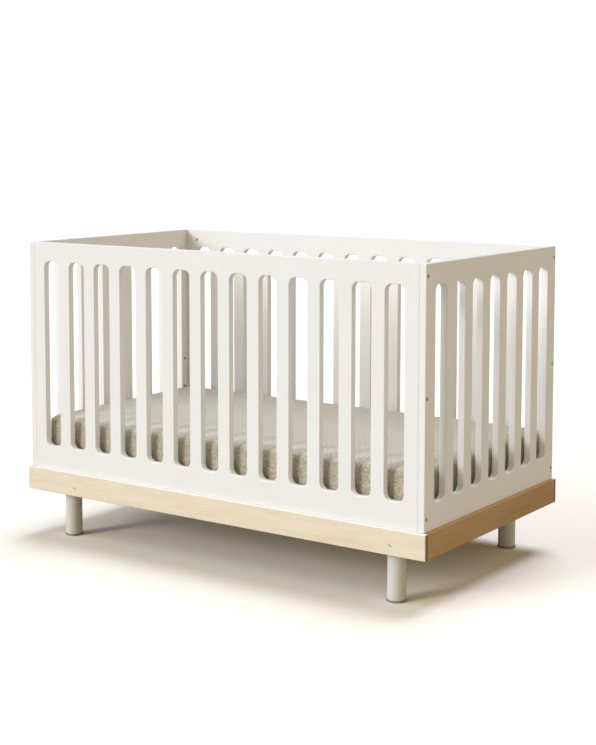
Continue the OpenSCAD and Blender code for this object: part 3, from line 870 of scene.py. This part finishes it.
slat_low, slat_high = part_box("slat_1")
slat_x = (slat_low.x + slat_high.x) / 2
slat = round_edges(block("slat", slat_low, slat_high), 0.004, 4, along(2))
ease(slat, 0.0018)
slat_seats = seats("slat_screws", screw_head_h)
for seat in slat_seats:
    if abs(seat.translation.x - slat_x) < 0.01:
        sink = turned("countersink", [
            (screw_head_r, -screw_head_h - past), (screw_head_r, -screw_head_h + 0.0002),
            (screw_r + hole, 0), (screw_r + hole, 0.020),
        ], 24)
        sink.data.transform(seat)
        cut(slat, sink)
for number in range(1, 11):
    name = "slat_" + str(number)
    low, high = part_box(name)
    board = copied(slat, name + "_wood", Matrix.Translation((low.x - slat_low.x, 0, 0)))
    finish(board, birch_y, "support", "birch", name)
bpy.data.objects.remove(slat)

flat_screw = crossed(turned("screw", [
    (0.0034, -0.0019), (0.0037, -0.0018), (screw_r, 0), (screw_r, 0.018), (0.0004, 0.024),
], 24), -0.0019)
screws = repeated(flat_screw, "slat_screws_steel", slat_seats)
finish(screws, zinc, "support", "zinc_steel", "slat_screws")

frame_screw = turned("screw", [
    (0.0021, 0.0002), (0.0025, 0.0007), (0.0025, 0.054), (0.0010, 0.060),
], 24)
cut(frame_screw, turned("key", [(0.0016, -past), (0.0016, 0.0030)], 6))
screws = repeated(frame_screw, "frame_screws_steel", seats("support_frame_screws", 0))
finish(screws, zinc, "support", "zinc_steel", "support_frame_screws")

hook_low, hook_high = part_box("hanger_back_right")
hook_t, hook_slot, hook_rise = 0.003, 0.0066, 0.018
mid = hook_t / 2
hook_y = (hook_low.y + hook_high.y) / 2
hook = bent_strip("hook", [
    (hook_low.x, hook_low.z + mid), (hook_high.x - mid, hook_low.z + mid),
    (hook_high.x - mid, hook_high.z),
], hook_high.y - hook_low.y, hook_t, 0.0028, 0.004)
hook_top = hook_high.z - hook_rise - hook_slot / 2
hook_face = hook_high.x - hook_t
cut(hook, block(
    "slot",
    (hook_face - 0.001, -hook_slot / 2, hook_low.z - 0.001),
    (hook_high.x + 0.001, hook_slot / 2, hook_top),
))
cut(hook, bore(hook_slot / 2, 0.02, pointing(0, 1, (hook_high.x - 0.01, 0, hook_top))))
cut(hook, block(
    "head_way",
    (hook_face - 0.008, -0.008, hook_low.z - 0.001), (hook_face, 0.008, hook_low.z + 0.006),
))
hook.data.transform(Matrix.Translation((0, hook_y, 0)))
hook_seats = seats("hanger_screws", screw_head_h)
cut(hook, *[
    bore(screw_r, hook_t + past, seat) for seat in hook_seats
    if seat.translation.x > 0 and seat.translation.y > 0
])
ease(hook, 0.0004, 2)
for corner, sx, sy in corners:
    angle = copied(hook, "hanger_" + corner + "_steel", Matrix.Diagonal((sx, sy, 1, 1)))
    finish(angle, zinc, "support", "zinc_steel", "hanger_" + corner)
bpy.data.objects.remove(hook)
screws = repeated(pan_screw(0.018), "hanger_screws_steel", hook_seats)
finish(screws, zinc, "support", "zinc_steel", "hanger_screws")

head_gap = 0.0039       # the hangers' room between a bolt's head and the panel
hook_bolt = socket_bolt("bolt", 0.0159, 0.007, 0.005, 0.0035, 0.0030)
bolts = repeated(hook_bolt, "support_bolts_steel", [
    pointing(0, sx, (sx * (inner_x - head_gap), sy * support_row, support_heights[0]))
    for corner, sx, sy in corners
])
finish(bolts, zinc, "crib", "zinc_steel", "support_bolts")


# ---- Mattress
# A foam core in a knitted cover, under a fitted sheet of melange cloth. The sheet is drawn over
# the edges, pleated round the corners and gathered underneath by an elastic hem.
sheet_low, sheet_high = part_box("fitted_sheet")
cover_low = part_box("mattress_cover")[0]
core_low, core_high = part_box("mattress_core")
sheet_t = cover_low.z - sheet_low.z
plan_r = 0.034          # corners seen from above
soft_r = 0.010          # upper and lower edges
hem_reach = 0.110       # the sheet wraps this far underneath
hem_w = 0.012           # elastic band round the opening
swell = 0.0012          # the cloth starts this far inside its place and swells back out
most = 0.0035           # the furthest that a point may swell
pleats, pleat_depth = 4, 0.0011


def rounded_block(name, low, high, radius, edge_radius, inset=0.0):
    margin = Vector((inset, inset, inset))
    shape = block(name, low + margin, high - margin)
    round_edges(shape, radius - inset, 8, along(2))
    return ease(shape, edge_radius, 4)


def puff(pad, voxel):
    """Blows a closed pad up a little as cloth. The foam inside keeps points from going inwards."""
    apply_modifier(pad, "REMESH", mode="VOXEL", voxel_size=voxel)
    start = [(vertex.co.copy(), vertex.normal.copy()) for vertex in pad.data.vertices]
    cloth = pad.modifiers.new("Cloth", "CLOTH")
    cloth.settings.use_pressure = True
    cloth.settings.uniform_pressure_force = 4
    cloth.settings.quality = 4
    cloth.settings.effector_weights.gravity = 0
    for step in range(1, 21):
        bpy.context.scene.frame_set(step)
    blown = pad.evaluated_get(bpy.context.evaluated_depsgraph_get()).data
    moved = [(vertex.co - at).dot(normal) for vertex, (at, normal) in zip(blown.vertices, start)]
    pad.modifiers.remove(cloth)
    bpy.context.scene.frame_set(1)
    for vertex, (at, normal), out in zip(pad.data.vertices, start, moved):
        vertex.co = at + normal * min(most, max(0, out))
        vertex.co.z = max(vertex.co.z, sheet_low.z)
    return pad


def smooth_step(value, low, high):
    share = min(1, max(0, (value - low) / (high - low)))
    return share * share * (3 - 2 * share)


def melange():
    """Cloth of pale and dark fibres: short slubs both ways, a fine weave and a slight fuzz."""
    material, tree, shader = new_material(
        "sheet_cloth", Roughness=0.92, IOR=1.4, Sheen_Weight=0.2, Sheen_Roughness=0.5
    )
    place = node(tree, "TexCoord").outputs["Object"]
    slub_x = noise(tree, place, (150, 430, 400), 3, 0.7)
    slub_y = noise(tree, place, (430, 150, 400), 3, 0.7)
    slub = node(tree, "Math", {0: slub_x, 1: slub_y}, operation="ADD").outputs[0]
    color = blend(tree, remap(tree, slub, 0.83, 1.17), cloth_dark, cloth_pale)
    fibre = remap(tree, noise(tree, place, 330, 2), 0.60, 0.72, 0, 0.45)
    color = blend(tree, fibre, color, cloth_fibre)
    tree.links.new(color, shader.inputs["Base Color"])
    thread = noise(tree, place, 1500, 1)
    weave = node(tree, "Math", {0: slub, 1: thread}, operation="ADD").outputs[0]
    bump = node(tree, "Bump", {"Height": weave, "Strength": 0.5, "Distance": 0.0006})
    tree.links.new(bump.outputs[0], shader.inputs["Normal"])
    return material


def plain_cloth(name, color, cells, strength):
    """A pale soft material with small cells: the cover's knit or the core's foam."""
    material, tree, shader = new_material(name, Roughness=0.95, IOR=1.4)
    place = node(tree, "TexCoord").outputs["Object"]
    cell = node(tree, "TexVoronoi", {"Vector": place, "Scale": cells}).outputs["Distance"]
    dim = tuple(0.86 * part for part in color[:3]) + (1,)
    color = blend(tree, remap(tree, cell, 0.2, 0.7), color, dim)
    tree.links.new(color, shader.inputs["Base Color"])
    bump = node(
        tree, "Bump", {"Height": cell, "Strength": strength, "Distance": 0.0008}, invert=True
    )
    tree.links.new(bump.outputs[0], shader.inputs["Normal"])
    return material


cloth_pale = (0.68, 0.63, 0.50, 1)
cloth_dark = (0.30, 0.27, 0.20, 1)
cloth_fibre = (0.19, 0.165, 0.12, 1)
sheet_cloth = melange()
cover_cloth = plain_cloth("cover_cloth", (0.86, 0.84, 0.79, 1), 700, 0.5)
foam = plain_cloth("foam", (0.88, 0.83, 0.62, 1), 420, 0.8)

core = rounded_block("mattress_core_foam", core_low, core_high, plan_r - 0.0045, 0.009)
finish(core, foam, "mattress", "foam", "mattress_core")

pad = puff(rounded_block("pad", sheet_low, sheet_high, plan_r, soft_r, swell), 0.0125)
cover = copied(pad, "mattress_cover_knit")
pick(cover)
bpy.ops.object.mode_set(mode="EDIT")
bpy.ops.mesh.select_all(action="SELECT")
bpy.ops.transform.shrink_fatten(value=-sheet_t - 0.0008)
bpy.ops.object.mode_set(mode="OBJECT")

sheet = apply_modifier(pad, "SUBSURF", levels=1, render_levels=1)
corner_x, corner_y = sheet_high.x - plan_r, sheet_high.y - plan_r
for vertex in sheet.data.vertices:
    at = vertex.co
    out_x, out_y = abs(at.x) - corner_x, abs(at.y) - corner_y
    if out_x > -0.02 and out_y > -0.02:
        turn = math.atan2(out_y + 0.02, out_x + 0.02)
        below = 1 - smooth_step(at.z, sheet_low.z + 0.01, sheet_low.z + 0.075)
        outside = smooth_step(math.hypot(max(out_x, 0), max(out_y, 0)), 0.6 * plan_r, 0.9 * plan_r)
        push = pleat_depth * below * outside * math.cos(4 * pleats * turn)
        at.x += math.copysign(push * math.cos(turn), at.x)
        at.y += math.copysign(push * math.sin(turn), at.y)

finish(cover, cover_cloth, "mattress", "cover_cloth", "mattress_cover")

opening_x, opening_y = sheet_high.x - hem_reach, sheet_high.y - hem_reach
pick(sheet)
bpy.ops.object.mode_set(mode="EDIT")
for reach_x, reach_y in ((opening_x, opening_y), (opening_x + hem_w, opening_y + hem_w)):
    for way in (-1, 1):
        for co, no in (((way * reach_x, 0, 0), (1, 0, 0)), ((0, way * reach_y, 0), (0, 1, 0))):
            bpy.ops.mesh.select_all(action="SELECT")
            bpy.ops.mesh.bisect(plane_co=co, plane_no=no)
bpy.ops.object.mode_set(mode="OBJECT")


def keep_faces(piece, test):
    """Deletes the faces of a piece whose centre fails the test."""
    pick(piece)
    bpy.ops.object.mode_set(mode="EDIT")
    bpy.ops.mesh.select_mode(type="FACE")
    bpy.ops.mesh.select_all(action="DESELECT")
    mesh = bmesh.from_edit_mesh(piece.data)
    for face in mesh.faces:
        face.select = not test(face.calc_center_median())
    bmesh.update_edit_mesh(piece.data)
    bpy.ops.mesh.delete(type="FACE")
    bpy.ops.object.mode_set(mode="OBJECT")


def under(at, reach_x, reach_y):
    return at.z < sheet_low.z + 0.004 and abs(at.x) < reach_x and abs(at.y) < reach_y


hem = copied(sheet, "sheet_hem_elastic")
keep_faces(sheet, lambda at: not under(at, opening_x, opening_y))
keep_faces(hem, lambda at: (
    under(at, opening_x + hem_w, opening_y + hem_w) and not under(at, opening_x, opening_y)
))
for vertex in hem.data.vertices:
    vertex.co.z = sheet_low.z + 0.0022
apply_modifier(hem, "SOLIDIFY", thickness=0.0020, offset=0)
apply_modifier(sheet, "SOLIDIFY", thickness=0.0009, offset=-1)
sheet.name = "fitted_sheet_cloth"
finish(hem, sheet_cloth, "mattress", "sheet_cloth")
finish(sheet, sheet_cloth, "mattress", "sheet_cloth", "fitted_sheet")


# ---- Floor and light
# A plain pale floor under five broad soft lights: one above, three from the front left and a
# weak one from the right. The background is white.
bpy.ops.object.select_all(action="DESELECT")
bpy.ops.mesh.primitive_plane_add(size=60, location=(0, 0, 0))
floor = bpy.context.object
floor.name = "floor"
material, tree, shader = new_material("floor", Roughness=0.9, Specular_IOR_Level=0.0)
seen = node(tree, "LightPath").outputs["Is Camera Ray"]
tree.links.new(
    blend(tree, seen, (0.40, 0.39, 0.30, 1), (0.97, 0.92, 0.81, 1)), shader.inputs["Base Color"]
)
floor.data.materials.append(material)


def soft_sun(name, turn, height, spread, light):
    """A broad soft light far away, in degrees: turn 0 is in front and 90 at the left."""
    turn, height = math.radians(turn), math.radians(height)
    place = Vector((
        -math.sin(turn) * math.cos(height), -math.cos(turn) * math.cos(height), math.sin(height)
    ))
    bpy.ops.object.light_add(type="SUN", location=5 * place)
    lamp = bpy.context.object
    lamp.name = name
    lamp.rotation_euler = place.to_track_quat("Z", "Y").to_euler()
    lamp.data.angle = math.radians(spread)
    lamp.data.energy = math.pi * max(light)
    lamp.data.color = [part / max(light) for part in light]


soft_sun("top light", 180, 70.5, 32, (0.66, 0.72, 0.88))
soft_sun("front left light", 25, 20, 20, (0.56, 0.535, 0.54))
soft_sun("left light", 60, 20, 40, (0.17, 0.22, 0.40))
soft_sun("high left light", 35, 45, 40, (0.17, 0.20, 0.15))
soft_sun("right light", -90, 5, 120, (0.42, 0.355, 0.285))

world = bpy.data.worlds.new("studio")
bpy.context.scene.world = world
world.use_nodes = True
tree = world.node_tree
background = tree.nodes["Background"]
seen = node(tree, "LightPath").outputs["Is Camera Ray"]
tree.links.new(
    blend(tree, seen, (0.125, 0.07, 0.01, 1), (1.2, 1.2, 1.2, 1)), background.inputs["Color"]
)
background.inputs["Strength"].default_value = 1.0
